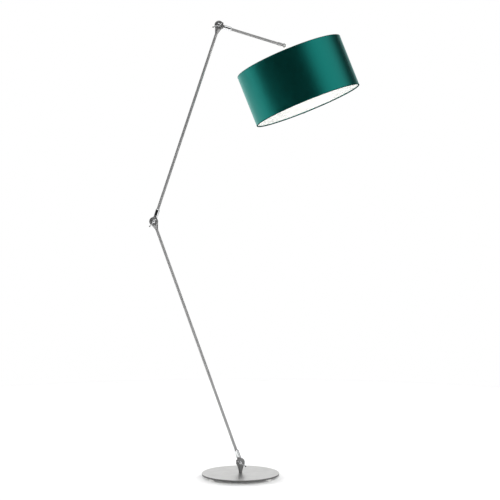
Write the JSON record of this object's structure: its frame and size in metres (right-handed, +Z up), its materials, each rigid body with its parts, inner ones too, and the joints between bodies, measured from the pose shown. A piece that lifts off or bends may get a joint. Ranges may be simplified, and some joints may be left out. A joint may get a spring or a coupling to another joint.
{
  "type": "floor lamp",
  "caption": "Adjustable floor lamp: jointed tubular arms with hand clamp screws on a round plate base, carrying a tilting fabric drum shade.",
  "frame": {"origin": "on the floor, under the middle of the base plate and its knuckle joint", "axes": "+Z up; +X to the right of the front view, the way the shade reaches; the front, with the clamp screws, faces -Y"},
  "size_m": [0.7614, 0.4, 1.651],
  "materials": {
    "satin_steel": "satin",
    "chrome": "polished",
    "zinc_steel": "zinc plated",
    "clear_rubber": "clear, satin",
    "black_plastic": "satin",
    "white_plastic": "matte",
    "white_sheath": "matte",
    "holder_plastic": "gloss",
    "white_ceramic": "matte",
    "bulb_metal": "bright",
    "frosted_glass": "frosted",
    "white_enamel": "gloss",
    "green_fabric": "satin weave",
    "white_lining": "matte"
  },
  "bodies": {
    "base": {"base_plate": "satin_steel", "base_foot_1": "clear_rubber", "base_foot_2": "clear_rubber", "base_foot_3": "clear_rubber", "base_foot_4": "clear_rubber", "base_stud": "zinc_steel", "base_washer": "zinc_steel", "base_nut": "zinc_steel", "cord_gland": "black_plastic", "base_lower_eye": "chrome"},
    "lower_arm": {"base_upper_eye": "chrome", "base_collar": "chrome", "base_friction_washer": "white_plastic", "base_cap_nut": "chrome", "lower_arm_tube": "satin_steel", "lower_arm_lead": "white_sheath", "elbow_lower_eye": "chrome"},
    "middle_arm": {"elbow_upper_eye": "chrome", "elbow_collar": "chrome", "elbow_friction_washer": "white_plastic", "elbow_cap_nut": "chrome", "middle_arm_tube": "satin_steel", "middle_arm_lead": "white_sheath", "top_lower_eye": "chrome"},
    "top_arm": {"top_upper_eye": "chrome", "top_collar": "chrome", "top_friction_washer": "white_plastic", "top_cap_nut": "chrome", "top_arm_tube": "satin_steel", "top_arm_lead": "white_sheath", "shade_hinge_arm_half": "satin_steel", "shade_hinge_nut": "chrome", "shade_hinge_screw": "chrome"},
    "shade": {"shade_hinge_holder_half": "white_enamel", "holder_cap": "holder_plastic", "holder_body": "holder_plastic", "holder_ring_nut": "holder_plastic", "holder_insert": "white_ceramic", "bulb_cap": "bulb_metal", "bulb_glass": "frosted_glass", "fitter_ring": "white_enamel", "spider_arm_1": "white_enamel", "spider_arm_2": "white_enamel", "spider_arm_3": "white_enamel", "shade_top_ring": "white_enamel", "shade_bottom_ring": "white_enamel", "shade_fabric": "green_fabric", "shade_lining": "white_lining"},
    "base_clamp": {"base_clamp_screw": "chrome", "base_tommy_bar": "chrome", "base_tommy_ball_1": "black_plastic", "base_tommy_ball_2": "black_plastic"},
    "elbow_clamp": {"elbow_clamp_screw": "chrome", "elbow_tommy_bar": "chrome", "elbow_tommy_ball_1": "black_plastic", "elbow_tommy_ball_2": "black_plastic"},
    "top_clamp": {"top_clamp_screw": "chrome", "top_tommy_bar": "chrome", "top_tommy_ball_1": "black_plastic", "top_tommy_ball_2": "black_plastic"}
  },
  "joints": [
    {"name": "base_tilt", "type": "hinge", "parent": "base", "child": "lower_arm", "pos_m": [0, 0, 0.0512], "axis": [0, -1, 0], "range_deg": [-49.8, 10.2]},
    {"name": "elbow_bend", "type": "hinge", "parent": "lower_arm", "child": "middle_arm", "pos_m": [-0.31435, 0, 0.92434], "axis": [0, -1, 0], "range_deg": [-51.8, 128.2]},
    {"name": "top_bend", "type": "hinge", "parent": "middle_arm", "child": "top_arm", "pos_m": [-0.07793, 0, 1.63505], "axis": [0, -1, 0], "range_deg": [-1.3, 178.7]},
    {"name": "shade_tilt", "type": "hinge", "parent": "top_arm", "child": "shade", "pos_m": [0.15768, 0, 1.56256], "axis": [0, -1, 0], "range_deg": [-38.8, 141.2]},
    {"name": "base_clamp_turn", "type": "hinge", "parent": "lower_arm", "child": "base_clamp", "pos_m": [0, 0, 0.0512], "axis": [0, -1, 0], "range_deg": [0, 180]},
    {"name": "elbow_clamp_turn", "type": "hinge", "parent": "middle_arm", "child": "elbow_clamp", "pos_m": [-0.31435, 0, 0.92434], "axis": [0, -1, 0], "range_deg": [0, 180]},
    {"name": "top_clamp_turn", "type": "hinge", "parent": "top_arm", "child": "top_clamp", "pos_m": [-0.07793, 0, 1.63505], "axis": [0, -1, 0], "range_deg": [0, 180]}
  ]
}
